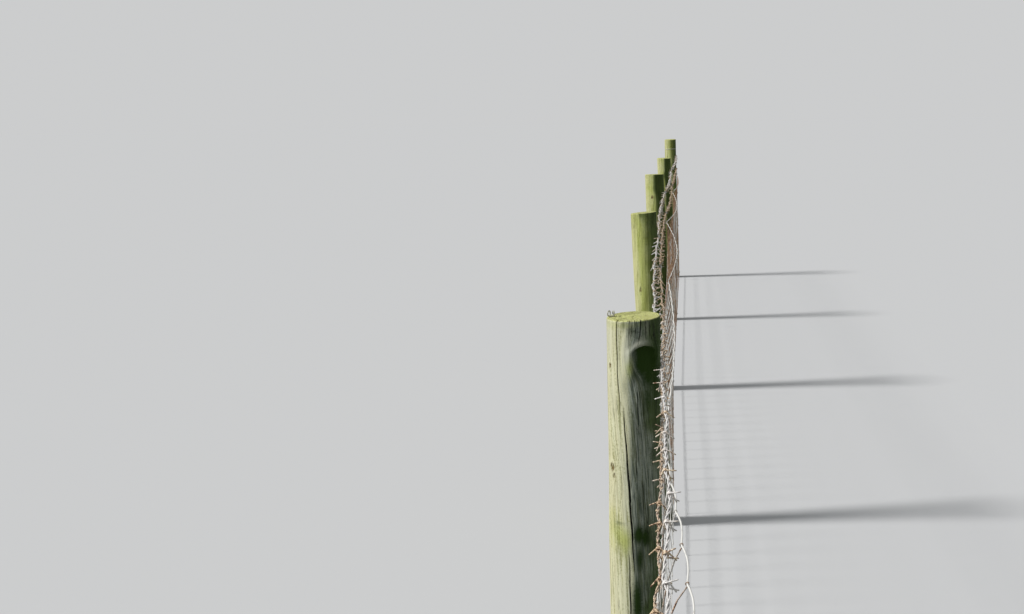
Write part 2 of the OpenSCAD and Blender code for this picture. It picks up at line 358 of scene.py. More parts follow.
# weathered round softwood: "grain" is each point's place on the unbent log, so patterns
# that are long in its third axis run along the grain, round the knots and over the top
def woodFinish():
    s = Shader("weathered_post")
    grain, spot = s.attribute("grain", "Vector"), s.place()
    height = s.add("ShaderNodeSeparateXYZ", sockets={0: spot}, output=2)
    end, dark, grey, algae, knot, stain, moss, pale = (
        s.attribute(k) for k in ("end", "dark", "grey", "algae", "knot", "stain", "moss", "pale"))
    streak = s.noise(s.stretch(grain, (1, 1, 0.035)), 360.0, 5.0, 0.62)
    fibre = s.noise(s.stretch(grain, (1, 1, 0.02)), 1300.0, 3.0, 0.6)
    band = s.noise(s.stretch(grain, (1, 1, 0.09)), 48.0, 3.0, 0.5)
    split = s.noise(s.stretch(grain, (1, 1, 0.03)), 150.0, 3.0, 0.5)
    patch = s.noise(spot, 12.0, 4.0, 0.6)
    fleck = s.noise(spot, 230.0, 3.0, 0.6)
    mottle = s.noise(s.stretch(grain, (1, 1, 0.04)), 150.0, 5.0, 0.7)
    hair = 1 - s.ramp((split - 0.5).math("ABSOLUTE"), 0.002, 0.017)
    wide = s.ramp(band, 0.4, 0.6)    # hair cracks come in bands
    hair = hair * (wide * 0.6 + s.ramp(grey, -0.4, 0.3, 0.2, 0.7) + s.ramp(height, 1.12, 1.18) * 0.35)
    hair = hair * s.ramp(patch + fleck * 0.3, 0.55, 0.8, 0.25, 1.0)
    weave = s.noise(s.stretch(grain, (1, 1, 0.16)), 190.0, 2.0, 0.5, 0.8)    # crazing near a shaded top
    crazed = s.ramp(height, 1.13, 1.18) * s.ramp(grey, -0.2, 0.2) * 0.6
    hair = hair + (1 - s.ramp((weave - 0.5).math("ABSOLUTE"), 0.004, 0.03)) * crazed
    tan = s.mix(s.ramp(moss, 0.0, 0.2), wood["dryTan"], wood["tan"])
    # the pale share grows towards the edge of the sunlit side: sun-bleached wood, and painted light that
    # keeps the half-lit side bright
    sunny = s.mix(s.ramp(streak + grey * 0.35 + 0.2, 0.36, 0.62), tan, wood["bleachedAndLit"])
    silver = s.mix(s.ramp(streak * 0.5 + fibre * 0.5, 0.42, 0.58), wood["darkGrey"], wood["paleGrey"])
    sunny = s.mix(s.ramp(fibre * 0.5 + streak * 0.5, 0.55, 0.68) * 0.45, sunny, wood["paleGrey"])
    sunny = s.mix(s.ramp(streak * 0.8 + fibre * 0.2, 0.42, 0.33) * 0.4, sunny, wood["dullTan"])
    base = s.mix(s.ramp(grey + band * 0.9 - 0.45, -0.26, 0.14), sunny, silver)
    # algae on the side turned from the sun, dark there also as painted shade
    base = s.mix(s.ramp(algae + patch * 1.2 - 0.6, 0.3, 0.85) * 0.9, base, wood["algae"])
    base = s.mix(s.ramp(algae + patch * 0.6 - 0.3, 0.8, 1.5) * 0.85, base, wood["darkAlgaeAndShade"])
    mossy = s.ramp(moss + streak * 0.5 + patch * 0.7 - 0.6, 0.15, 0.85)
    base = s.mix(mossy * s.ramp(algae, 0.3, 1.1, 0.8, 0.1), base, wood["green"])
    base = s.mix(s.ramp(mottle * 0.75 + fleck * 0.25, 0.52, 0.4) * 0.85, base, wood["dull"], "MULTIPLY")
    base = s.mix(s.ramp(fleck + algae * 0.12, 0.6, 0.72) * 0.35, base, wood["algae"])
    # pale: bleached wood, and a painted highlight on the scar's lip
    base = s.mix(pale * 0.8, base, wood["paleAndHighlight"])
    # stains, and painted shade in the scar's hollow
    base = s.mix(s.ramp(stain + fleck * 0.4 + streak * 0.3 - 0.35, 0.05, 0.8), base, wood["darkAlgaeAndShade"])
    base = s.mix(s.ramp(height + patch * 0.05, 0.12, 0.02) * 0.7, base, wood["soilAndShade"])
    # the sawn end: rings about an off-centre pith, and drying cracks that run out from it, drawn dark as
    # painted shade in them
    pith = s.add("ShaderNodeVectorMath", {"operation": "SUBTRACT"}, {0: grain, 1: (0.006, -0.004, 0)})
    flat = s.stretch(pith, (1, 1, 0))
    rings = s.add("ShaderNodeTexWave", {"wave_type": "RINGS", "rings_direction": "Z"}, {
        "Vector": flat, "Scale": 90.0, "Distortion": 1.0, "Detail": 3.0, "Detail Scale": 40.0},
        output="Fac")
    outward = s.add("ShaderNodeVectorMath", {"operation": "NORMALIZE"}, {0: flat})
    spokes = s.stretch(flat, (9, 9, 9))
    spokes = s.add("ShaderNodeVectorMath", {"operation": "ADD"}, {0: spokes, 1: outward})
    ray = s.noise(spokes, 2.8, 1.0, 0.4)
    ray = 1 - s.ramp((ray - 0.5).math("ABSOLUTE"), 0.001, 0.012)
    ray = ray * s.ramp(patch + fleck * 0.5, 0.62, 0.85)
    face = s.mix(s.ramp(rings, 0.35, 0.95) * 0.75, wood["endGrain"], wood["endRing"])
    face = s.mix(s.ramp(fleck + patch * 0.4, 0.62, 0.85) * 0.6, face, wood["green"])
    face = s.mix(s.ramp(patch, 0.54, 0.7) * 0.3, face, wood["knot"])
    face = s.mix(s.ramp(fleck * 0.6 + patch * 0.4, 0.54, 0.42), face, wood["dull"], "MULTIPLY")
    face = s.mix(ray * 0.75, face, wood["soilAndShade"])
    base = s.mix(end, base, face)
    knotty = knot * s.ramp(fleck, 0.3, 0.55)
    base = s.mix(knotty * s.ramp(algae, 1.0, 0.1, 0.3, 1.0), base, wood["knot"])
    # painted shade in the hair cracks, then in the checks as deep as they are cut, with the dark rims of
    # knots
    base = s.mix(hair * (1 - end) * 0.8, base, wood["crack"])
    base = s.mix(dark, base, wood["crack"])
    relief = streak * 0.5 + fibre * 0.3 - hair * 0.8 * (1 - end) - ray * end * 0.8
    return s.finish(Base_Color=base, Roughness=0.9, Specular_IOR_Level=0.25,
                    Normal=s.bump(relief, 0.7, 0.0012))


# each wire's zinc, then its dark and its pale rust
metals = {
    "silver": (colour(252, 247, 242), colour(132, 96, 74), colour(248, 228, 198)),
    "rusty": (colour(246, 232, 216), colour(98, 58, 40), colour(250, 222, 186)),
    "net": (colour(250, 247, 240), colour(102, 64, 46), colour(208, 168, 132)),
    "tie": (colour(190, 188, 176), colour(96, 74, 60), colour(186, 156, 128)),
    # the dark of dirt on the netting, and of painted shade in a twisted strand's groove
    "dirt": colour(44, 40, 38),
    "dull": 0.55,           # of the zinc's brightness, between its bright spangles
}


# old zinc: pale grey that blooms, with rust in patches where the rust value and noise meet
def wireFinish(name, zinc, darkRust, paleRust):
    s = Shader(name)
    spot, rust, dirt = s.place(), s.attribute("rust"), s.attribute("dirt")
    patch = s.noise(spot, 70.0, 5.0, 0.65)
    speck = s.noise(spot, 300.0, 2.0, 0.5)
    fine = s.noise(spot, 800.0, 3.0, 0.6)
    broad = s.noise(spot, 7.0, 2.0, 0.5)
    rusted = s.ramp(patch * 0.7 + broad * 0.3 + rust, 0.8, 1.04)
    bright = s.ramp(speck * 0.5 + fine * 0.5 + patch * 0.3 - rust * 0.3, 0.45, 0.61)
    metal = s.mix(bright, tuple(metals["dull"] * v for v in zinc), zinc)
    brown = s.mix(s.ramp(speck * 0.6 + fine * 0.4, 0.43, 0.55), darkRust, paleRust)
    base = s.mix(rusted, metal, brown)
    # darkened by each point's dark value: dirt on the netting, painted shade in a strand's groove
    base = s.mix(dirt * s.ramp(fine, 0.3, 0.6, 0.6, 0.95), base, metals["dirt"])
    return s.finish(Base_Color=base, Metallic=(1 - rusted) * 0.15,
                    Roughness=rusted * 0.38 + 0.45, Normal=s.bump(fine + patch * 0.6, 0.4, 0.0004))


postWood = woodFinish()
silverWire = wireFinish("weathered_zinc", *metals["silver"])
rustyWire = wireFinish("rusty_zinc", *metals["rusty"])
netWire = wireFinish("rust_stained_zinc", *metals["net"])
tieWire = wireFinish("dull_zinc", *metals["tie"])
print("finishes made")

# posts
posts = {
    "grid": (150, 160, 9),          # columns, rows up the side, rings on the sawn end
    "nearGrid": (300, 308, 20),
    "grain": -2.4,                  # slant in degrees, in which plus turns left going up
    "nearGrain": 3.0,
    "grainApart": 1700,             # from one post's place in the wood's pattern to the next one's
    "ripples": [(1.1, 7, 5), (0.45, 31, 6), (0.28, 83, 14)],    # height, and how many go round and up
    "sunless": 262,                 # the side away from the sun, from +X towards +Y, as all facings are
    "sawTurn": (116, -75),          # facing of the near saw cut's low side, and its step from post to post
    # strength of the algae on each post's dark side, raised on some posts to bring that side's dark round
    # sooner: painted shade as well as algae
    "dampAndShade": [1.2, 1, 1.25, 1.9, 2.7, 1.0],      # strength of the algae on each post's dark side
    "knots": 5,                     # on a post other than the near one
    "seenKnots": {2: (150, 918, 6)},            # facing, height and size, in place of a random one
    # checks on the other posts: facing, then middle, length and depth as shares
    "checks": [(165, 0.7, 0.44, 0.9), (20, 0.45, 0.5, 1), (95, 0.3, 0.32, 0.7)],
    "checkTurn": 67,
    "checkDepth": 20,
    "checkWidth": 4,
    # checks on the near post: (angle, height) along each, then width, depth, middle and half length
    "nearChecks": [
        ([(151, 1009), (150, 1048), (144.5, 1106), (144, 1202), (143, 1250)], 2.6, 13, 1140, 128),
        ([(180, 690), (178, 736), (174, 800), (169, 886), (166, 936), (160, 1017), (158, 1050)],
         3.6, 18, 870, 170),
        ([(171, 540), (170, 625), (169, 690), (168, 743)], 2.8, 12, 648, 100),
        ([(190, 985), (191.5, 1011), (190, 1050), (188, 1090)], 1.5, 5, 1037, 55),
        ([(186, 900), (186.5, 960)], 1.3, 4, 930, 36),
        ([(193, 1158), (197, 1180), (199, 1220)], 2.3, 6, 1200, 40),
        ([(171, 1150), (173.5, 1180), (174, 1220)], 1.4, 3.5, 1200, 44),
        ([(184, 1160), (187, 1185), (185, 1220)], 1.6, 5, 1203, 27),
        ([(209, 1215), (205, 1188), (210, 1160)], 1.3, 4, 1190, 26),
        ([(216, 1205), (213, 1180), (219, 1160)], 1.2, 3.5, 1182, 22),
        ([(82, 430), (70, 663), (57, 900)], 4, 20, 663, 241),
        ([(294, 300), (285, 482), (275, 700)], 3.4, 16, 482, 211),
    ],
    # patches on the other posts, which turn and drop from post to post: facing, height, half width,
    # half height, strength of the algae and of the moss
    "blots": [
        (172, 1090, 18, 120, 0.2, 0.6), (165, 830, 14, 90, 0.3, 0.4), (120, 1190, 40, 30, 0.5, 0.2),
        (135, 600, 20, 120, 0.3, 0.4), (300, 500, 24, 140, 0.6, 0), (45, 900, 18, 190, 0.55, 0.2),
        (80, 240, 40, 160, 0.6, 0.3), (190, 300, 40, 200, 0.5, 0.2), (165, 1240, 22, 60, 1.0, 0),
    ],
    "blotTurn": 31,
    "blotDrop": 60,
    # dark, mossy, pale and dry patches on the near post: facing, height, half width, half height,
    # strength
    "nearBlots": [
        (190, 784, 13, 22, 0.9), (204, 778, 14, 24, 0.85), (146, 805, 16, 4, 0.5), (228, 945, 13, 24, 0.5),
        (240, 1110, 18, 110, 0.75), (214, 1056, 14, 42, 0.56), (230, 1188, 20, 26, 0.4),
        (180, 1186, 11, 14, 0.5), (191, 735, 9, 34, 0.7), (185, 645, 11, 62, 0.85), (192, 850, 7, 36, 0.45),
        (166, 735, 8, 70, 0.3), (172, 1088, 8, 26, 0.3), (163, 1080, 9, 32, 0.33), (184, 1100, 9, 16, 0.5),
        (162, 1200, 9, 20, 0.45),
    ],
    "nearMoss": [
        (134, 790, 30, 34, 0.55), (156, 768, 18, 22, 0.35), (162, 730, 13, 60, 0.4),
        (150, 1196, 45, 8, 0.45), (175, 1118, 10, 36, 0.6), (160, 1110, 12, 60, 0.2),
    ],
    # pale patches: bleached wood, and in the third a painted highlight on the scar's left lip
    "nearPale": [
        (110, 1170, 20, 50, 0.6), (128, 1060, 9, 50, 0.3), (167, 1142, 8, 24, 0.85),
        (212, 1192, 6, 22, 0.5),
    ],
    "nearDry": (232, 850, 30, 100, 0.45),
    "nearKnots": [
        (121, 1116, 4), (125, 915, 7.5), (131, 898, 4.5), (250, 560, 8), (40, 760, 9), (330, 940, 7),
    ],
    "scar": {"facing": 206, "half": 27, "lip": 1156, "rise": 20, "run": 84, "depth": 8.5,
             "rim": 1.5, "sideRim": 3.15},
}
scarred = 1


# grid of random numbers that repeats both ways, eased between its points; a and b count whole repeats
def randomField(rng, a, b, cellsA, cellsB):
    grid = rng.uniform(-1, 1, (cellsA, cellsB))
    i, j = a * cellsA, b * cellsB
    low, left = np.floor(i).astype(int), np.floor(j).astype(int)
    s, t = ease(i - low), ease(j - left)

    def pick(p, q):
        return grid[(low + p) % cellsA, (left + q) % cellsB]

    leftSide = (1 - s) * pick(0, 0) + s * pick(1, 0)
    rightSide = (1 - s) * pick(0, 1) + s * pick(1, 1)
    return (1 - t) * leftSide + t * rightSide


# count places from low to high, closer together at each hill of (centre, half width, height)
def crowded(count, low, high, hills):
    fine = np.linspace(low, high, 6001)
    density = 1 + sum(h * np.exp(-((fine - c) / w) ** 2) for c, w, h in hills)
    run = np.concatenate([[0], np.cumsum((density[1:] + density[:-1]) / 2)])
    return np.interp(np.linspace(0, run[-1], count), run, fine)


# the smaller way round from b to a
def angleBetween(a, b):
    return np.angle(np.exp(1j * (a - b)))


# the way that the low side of post i's saw cut faces
def sawTurn(i):
    start, step = posts["sawTurn"]
    return math.radians(start + step * (i - scarred))


# a post's checks as (angles, heights, width, depth, middle, half length), those of the plain
# posts on straight lines that slant with the grain
def checksOf(i, top, middle, slant):
    if i == scarred:
        return [(np.radians([p[0] for p in line]), [p[1] for p in line], *rest)
                for line, *rest in posts["nearChecks"]]
    lines = []
    for facing, centre, length, share in posts["checks"]:
        heights = np.array([centre - length / 2, centre + length / 2]) * top
        start = math.radians(facing + posts["checkTurn"] * i)
        angles = start - slant * (heights - centre * top) / middle
        lines.append((angles, heights, share * posts["checkWidth"], share * posts["checkDepth"],
                      centre * top, length * top / 2))
    return lines


# columns round the post, crowded at each check, and more so at a wide one: a check's hill stands
# on its own column, and once more a whole turn before and after it
def columnPlaces(count, checks, middle, slant):
    hills = []
    for angles, heights, width, _, _, _ in checks:
        line = np.unwrap(angles) + slant * np.asarray(heights) / middle
        spread = 0.022 + np.ptp(line) / 2
        hills += [(line.mean() % (2 * math.pi) + turn, spread, 9 if width > 2.6 else 5)
                  for turn in (-2 * math.pi, 0, 2 * math.pi)]
    return crowded(count + 1, 0, 2 * math.pi, hills)[None, :-1]


# how far the grain moves aside at s beside and h above a knot: it parts as water does round a
# pile, drawn out along the post
def parting(s, h, size, stretch):
    return -size ** 2 * s / (s ** 2 + (h / stretch) ** 2 + 0.35 * size ** 2)


# a check is a V: its depth falls off with distance across it, and follows a circle's arc along it. Its dark
# value grows with the cut's depth, painted shade in the crack
def cutChecks(checks, r, angle, z, middle):
    dark = np.zeros(r.shape)
    for angles, heights, width, depth, centre, half in checks:
        line = np.interp(z, heights, np.unwrap(angles)) + 0.4 * np.sin(z / 13 + width) / middle
        arc = np.clip(1 - ((z - centre) / half) ** 2, 0, 1)
        gap = np.abs(angleBetween(angle, line)) * r
        reach = width * np.sqrt(arc) / 2 + 1e-6
        cut = depth * arc * np.clip(1 - gap / reach, 0, 1) ** 0.8
        lip = 0.35 * arc * np.exp(-((gap - reach) / 2.2) ** 2)
        r = r - cut + np.where(gap > reach, lip, 0)
        dark = np.maximum(dark, np.clip(cut / 1.6, 0, 1))
    return r, dark


# the scar of a trimmed branch, at s beside its middle: a hollow under an arched rim, whose floor runs out
# to the surface below, with a painted highlight over the rim, painted shade in the hollow and a dark run
# under it
def scarForms(s, z):
    scar = posts["scar"]
    q = s / scar["half"]
    fall = scar["lip"] - z
    below = fall - scar["rise"] * (1 - np.sqrt(np.clip(1 - q ** 2, 0, 1)))
    hollow = ease(below, 0, 3.5) * ease(1 - np.abs(q), 0, 0.22)
    hollow = hollow * np.clip(1 - fall / scar["run"], 0, 1) ** 0.8
    arch = np.exp(-((below + 4) / 5) ** 2) * np.exp(-0.9 * q ** 2)
    sides = np.exp(-((np.abs(q) - 1.1) / 0.14) ** 2) * ease(fall, 0, 12) * ease(-fall, -50, -22)
    form = scar["rim"] * arch + scar["sideRim"] * sides - scar["depth"] * hollow
    # painted highlight on the upper left of the rim, where the sun would catch it
    pale = 0.9 * np.exp(-((below + 8) / 7) ** 2) * np.exp(-((q + 0.5) / 0.7) ** 2)
    # painted shade in the hollow, below the lip
    deep = (0.35 + 0.7 * ease(s, -26, -2)) * ease(-fall, -82, -34) * ease(hollow, 0.03, 0.3)
    run = np.exp(-((s - 10) / 24) ** 2) * ease(fall, 20, 45) * ease(-fall, -110, -60)
    return form, pale, np.maximum(deep, 0.75 * run)


# one post as a closed surface: columns follow the slanting grain, rows rise from foot to sawn top
def makePost(i):
    rng = np.random.default_rng(40 + i)
    near = i == scarred
    scar = posts["scar"]
    columns, rows, endRings = posts["nearGrid" if near else "grid"]
    slant = math.tan(math.radians(posts["nearGrain" if near else "grain"]))
    top = postTop(i)
    middle = postRadius(i, top / 2)
    checks = checksOf(i, top, middle, slant)
    crowds = [(top, 6, 14)]      # rows stand closer at the worn edge, and at the near post's scar
    knots = posts["nearKnots"]
    if near:
        crowds.append((scar["lip"] - 15, 40, 1.6))
    else:
        knots = [(rng.uniform(0, 360), rng.uniform(150, top - 80), rng.uniform(5, 9))
                 for _ in range(posts["knots"])]
        knots[0] = posts["seenKnots"].get(i, knots[0])
    u = columnPlaces(columns, checks, middle, slant)
    v = crowded(rows, 0, top, crowds)[:, None] / top
    z = v * top
    angle = u - slant * z / middle

    # distance round the post from the line that faces a given way
    def aside(facing):
        return middle * angleBetween(angle, math.radians(facing))

    # soft patch: a bell curve across and one up and down
    def blot(facing, height, wide, tall):
        return np.exp(-(aside(facing) / wide) ** 2 - ((z - height) / tall) ** 2)

    across = u * middle + 0 * z
    knot, dark, swell = (np.zeros(across.shape) for _ in range(3))
    for facing, height, size in knots:
        s, h = aside(facing), z - height
        across = across + parting(s, h, size, 2.2)
        d = np.hypot(s, h / 1.25) / size
        swell += 0.8 * np.exp(-((d - 1.05) / 0.4) ** 2) - 1.0 * np.exp(-(d / 0.6) ** 2)
        knot = np.maximum(knot, ease(-d, -1.15, -0.7))
        edge = 0.85 * np.exp(-((d - 0.75) / 0.16) ** 2) * ease(np.sin(3 * s + h / 2.2), -0.6, 0.9)
        dark = np.maximum(dark, edge)
    if near:
        across = across + parting(aside(scar["facing"]), z - scar["lip"] + 22, 24, 1.5)
    turnShare, rise = across / (2 * math.pi * middle), z / (top + 1)
    r = postRadius(i, z) + swell
    for height, cellsRound, cellsUp in posts["ripples"]:
        r = r + height * randomField(rng, turnShare, rise, cellsRound, cellsUp)
    r, cracked = cutChecks(checks, r, angle, z, middle)
    dark = np.maximum(dark, cracked)
    away = np.cos(angle - math.radians(posts["sunless"]))
    if near:
        # the near post's grey and algae follow the side turned from the sun: weathered wood and algae, and
        # painted shade there
        grey, algae, moss = away, away, np.zeros(r.shape)
        # the scar's shape, its painted highlight, and its painted shade with the dark run below
        form, pale, stain = scarForms(aside(scar["facing"]), z)
        r = r + form
        for *place, much in posts["nearBlots"]:
            stain = np.maximum(stain, much * blot(*place))
        for *place, much in posts["nearMoss"]:
            moss = moss + much * blot(*place)
        for *place, much in posts["nearPale"]:
            pale = np.maximum(pale, much * blot(*place))
        *place, much = posts["nearDry"]
        algae = algae - much * blot(*place)
    else:
        # grey and algae on the side turned from the sun: weathered wood and algae, and painted shade there
        grey, algae, moss = away - 0.3, posts["dampAndShade"][i] * away + 0.15, 0.22 + 0.5 * ease(away, -1.0, 0.2)
        stain, pale = np.zeros(r.shape), np.zeros(r.shape)
        for facing, height, wide, tall, dull, bright in posts["blots"]:
            facing, height = facing + posts["blotTurn"] * (i - 2), height - posts["blotDrop"] * abs(i - 2)
            spread = blot(facing, height, wide, tall)
            algae, moss = algae + dull * spread, moss + bright * spread
    # a dark run under each staple, where the rust has washed down
    s = aside(270)
    for height in fence["strands"] + [round(lineZ(j)) for j in netting["stapled"]]:
        fall = height - 8 - z
        stain = np.maximum(stain, 0.6 * np.exp(-(s / 5) ** 2) * ease(fall, -4, 4) * ease(-fall, -95, -10))
    # the saw cut, with its edge worn round
    drop = math.tan(math.radians(fence["sawSlope"]))
    sawn = top - drop * (postRadius(i, top) + r[-1:] * np.cos(angle[-1:] - sawTurn(i)))
    worn = np.clip(1 - (1 - v) * top / fence["edgeWear"], 0, 1)
    r = r - 0.75 * fence["edgeWear"] * (1 - np.sqrt(1 - worn ** 2))
    x, y = r * np.cos(angle), r * np.sin(angle)
    lean = math.radians(fence["lean"][i])
    foot = y[:1] * math.tan(lean)
    height = foot + (sawn - foot) * v
    # the sawn end: rings of the same outline that shrink towards its middle, a little rough
    shrink = np.concatenate([[0.997], np.linspace(0.96, 0.05, endRings)])[:, None]
    endX, endY = x[-1:] * shrink, y[-1:] * shrink
    endZ = top - drop * (postRadius(i, top) + endX * math.cos(sawTurn(i)) + endY * math.sin(sawTurn(i)))
    endZ = endZ + rng.normal(0, 0.1, endZ.shape) * (shrink < 0.99)
    pairs = ((x, endX), (y, endY), (height, endZ))
    points = np.stack([np.concatenate(p) for p in pairs], -1).reshape(-1, 3)
    points = np.concatenate([points, [[0, 0, endZ[-1].mean()], [0, 0, 0]]])
    turnedY = points[:, 1] * math.cos(lean) + points[:, 2] * math.sin(lean)
    turnedZ = points[:, 2] * math.cos(lean) - points[:, 1] * math.sin(lean)
    points = np.stack([points[:, 0] + i * fence["bayLength"], turnedY + fence["shift"][i], turnedZ], -1)
    allRows = rows + len(shrink)
    first, ring = allRows * columns, np.arange(columns)
    last = ring + (allRows - 1) * columns
    topFan = np.stack([last, np.roll(last, -1), np.full(columns, first)], -1)
    footFan = np.stack([np.roll(ring, -1), ring, np.full(columns, first + 1)], -1)

    # a value for every point: up the side, over the sawn end, and at the middles of top and foot
    def whole(side, end):
        side = np.broadcast_to(side, r.shape).ravel()
        return np.concatenate([side, np.full(endX.size, end), [end, 0]])

    # grain: where each point lay on the round log, before its knots and slant bent the fibres
    bend = across / middle
    log = np.stack([middle * np.cos(bend), middle * np.sin(bend), z + 0 * bend], -1).reshape(-1, 3)
    cap = np.stack([endX, endY, np.full(endX.shape, top)], -1).reshape(-1, 3)
    grain = np.concatenate([log, cap, [[0, 0, top], [0, 0, 0]]]) + [0, 0, posts["grainApart"] * i]
    values = {
        "grain": grain * mm,
        "end": whole(ease(worn, 0.35, 0.95), 1),
        "dark": whole(dark, 0),
        "grey": whole(grey, -1),
        "algae": whole(algae, -1),
        "stain": whole(stain, 0),
        "knot": whole(knot, 0),
        "moss": whole(moss, 0),
        "pale": whole(pale, 0),
    }
    name = "post_%d" % (i + 1)
    meshPiece("weathered_" + name, points, [ringQuads(allRows, columns), topFan, footFan],
              [name], values, postWood)


for i in range(fence["bays"] + 1):
    makePost(i)
print("posts made")

# barbed strands
strands = {
    "lay": 50,              # length of one full twist of the two wires
    "wire": 2.5,
    "thickness": 5,         # over both wires
    "stationsPerTurn": 10,
    "sides": 6,
    "barbSpacing": 100,
    "barbWire": 2.0,
    "barbTurns": 1.5,
    "barbPitch": 2.3,
    "barbSide": 2.1,        # from a barb's middle to the middle of each of its two coils
    "barbSides": 4,
    "coilStations": 13,
    "prong": 15,            # from the coil to the tip
    "tip": 0.15,
    "prongOut": 0.3,        # how far a prong points away from the strand, and along it
    "prongAlong": 0.14,
    "barbTurn": 9,          # from one barb to the next
    "barbStart": 98,        # turn of a bay's first barb
    "barbSplit": 38,        # turn of each of a barb's two wires away from its middle
    "barbStray": 14,
    "rustStray": 0.16,
    "kink": 2.2,
    "waves": [(410, 1.0), (173, 0.7), (97, 0.5)],   # of a strand's wander: length, and share of the kink
}
strandRows = {
    "top_barbed_strand": {
        "height": fence["strands"][0],
        "bow": [11, -7.5, -5.5, 2, 2],
        "sag": [5.5, 4.5, 4, 5.5, 3.5],
        "phase": 10,            # of the twist at the run's start, in radians
        "turn": 10,             # of all its barbs, in degrees
        "wander": (1.6, 2.0, 1.2),      # phases of its waves
        "rust": 0.14,
        "barbRust": 0.4,
        "groove": 0.6,
        "slot": "galvanised_wire",
        "finish": silverWire,
    },
    "second_barbed_strand": {
        "height": fence["strands"][1],
        "bow": [3.5, 3, -3.5, 3.5, -2],
        "sag": [7, 6.5, 8, 5.5, 7],
        "phase": 35,
        "turn": 35,
        "wander": (0.8, 1.6, 4.8),
        "rust": 0.46,
        "barbRust": 0.54,
        "groove": 0.45,
        "slot": "rusty_wire",
        "finish": rustyWire,
    },
}


# a strand's centre line at places x along the run: bay by bay, with a slow wander that is still at
# each post, and straight on past the end posts
def strandLine(row, x):
    place = np.clip(x / fence["bayLength"], 0, fence["bays"])
    bay = np.minimum(place.astype(int), fence["bays"] - 1)
    points = np.zeros(x.shape + (3,))
    for i in range(fence["bays"]):
        inside = bay == i
        points[inside] = inBay(i, place[inside] - i, row["height"], strands["thickness"],
                               row["bow"][i], row["sag"][i])
    points[..., 0] = x
    hold = np.abs(np.sin(math.pi * x / fence["bayLength"])) ** 0.5      # 0 at each post
    for axis, later in ((1, 0), (2, 2)):
        wander = sum(share * np.sin(2 * math.pi * x / length + phase + later)
                     for (length, share), phase in zip(strands["waves"], row["wander"]))
        points[..., axis] += strands["kink"] * hold * wander
    return points


# two wires on opposite sides of a helix, and at each barb two shorter wires that come in along a
# prong, wind round the pair and leave along the opposite prong
def makeStrand(name, row):
    length = fence["bays"] * fence["bayLength"]
    x = np.arange(-fence["tail"], length + fence["tail"] + 1, strands["lay"] / strands["stationsPerTurn"])
    middle = strandLine(row, x)
    turn = 2 * math.pi * x / strands["lay"] + row["phase"]
    out = np.stack([0 * turn, np.cos(turn), np.sin(turn)], -1)
    pair = np.stack([middle + out * strands["wire"] / 2, middle - out * strands["wire"] / 2])
    # painted shade, and some dirt, in the groove between the two wires, on the side of each wire that faces
    # the other
    facing = np.cos(2 * math.pi * np.arange(strands["sides"]) / strands["sides"])
    groove = np.tile(row["groove"] * ease(-facing, -0.2, 0.8), 2 * len(x))
    twist = tubes(pair, np.stack([out, -out]), strands["wire"] / 2, strands["sides"])
    sets = [(twist, row["rust"], groove)]
    perBay = round(fence["bayLength"] / strands["barbSpacing"])
    k = np.arange(perBay * fence["bays"])
    spots = strandLine(row, (k + 0.5) / perBay * fence["bayLength"])
    coil = strands["wire"] + strands["barbWire"] / 2
    t = np.linspace(-0.5, 0.5, strands["coilStations"])
    rng = np.random.default_rng(row["height"])
    barbRust = row["barbRust"] + strands["rustStray"] * rng.uniform(-1, 1, len(k))
    tilt = strands["barbStray"] * rng.uniform(-1, 1, len(k))
    for sign in (1, -1):
        start = row["turn"] + strands["barbTurn"] * (k % perBay) + strands["barbStart"] + tilt
        start = np.radians(start + strands["barbSplit"] * sign)[:, None]
        wind = start + sign * strands["barbTurns"] * 2 * math.pi * t
        along = strands["barbTurns"] * strands["barbPitch"] * t + strands["barbSide"] * sign
        along = np.broadcast_to(along, wind.shape)
        wound = np.stack([along, coil * np.cos(wind), coil * np.sin(wind)], -1)
        prongs = []
        for end, direction in ((0, -1), (-1, 1)):
            a = wind[:, end]
            radial = np.stack([0 * a, np.cos(a), np.sin(a)], -1)
            tangent = np.stack([0 * a, -np.sin(a), np.cos(a)], -1) * sign * direction
            flare = tangent + radial * strands["prongOut"]
            flare = unit(flare + np.array([strands["prongAlong"] * direction, 0, 0]))
            steps = (0.14, 0.55, 0.93, 1.0)
            prong = np.stack([wound[:, end] + flare * strands["prong"] * step for step in steps], 1)
            prongs.append(prong if direction == 1 else prong[:, ::-1])
        paths = np.concatenate([prongs[0], wound, prongs[1]], 1) + spots[:, None]
        radius = np.full(paths.shape[1], strands["barbWire"] / 2)
        radius[[0, -1]] = strands["tip"]
        rust = np.repeat(barbRust, paths.shape[1] * strands["barbSides"])
        sets.append((tubes(paths, (1, 0, 0), radius, strands["barbSides"]), rust, 0))
    tubePiece("twisted_" + name, sets, [name], row["finish"])


for name, row in strandRows.items():
    makeStrand(name, row)
print("barbed strands made")

# field netting
# point of line wire j: the slack top one bulges out and hangs off some posts, and the middle ones
# have been pushed in
def netPoint(i, share, j):
    h = j / topLine
    bow = netting["bulge"][i] * h ** 14 - netting["belly"][i] * 4 * h * (1 - h)
    p = inBay(i, share, lineZ(j), lineWire(j), bow, netting["sag"][i] * h ** 14)
    if j == topLine:
        share = np.asarray(share, float)
        p[..., 1] -= (1 - share) * netting["hang"][i] + share * netting["hang"][i + 1]
    return p


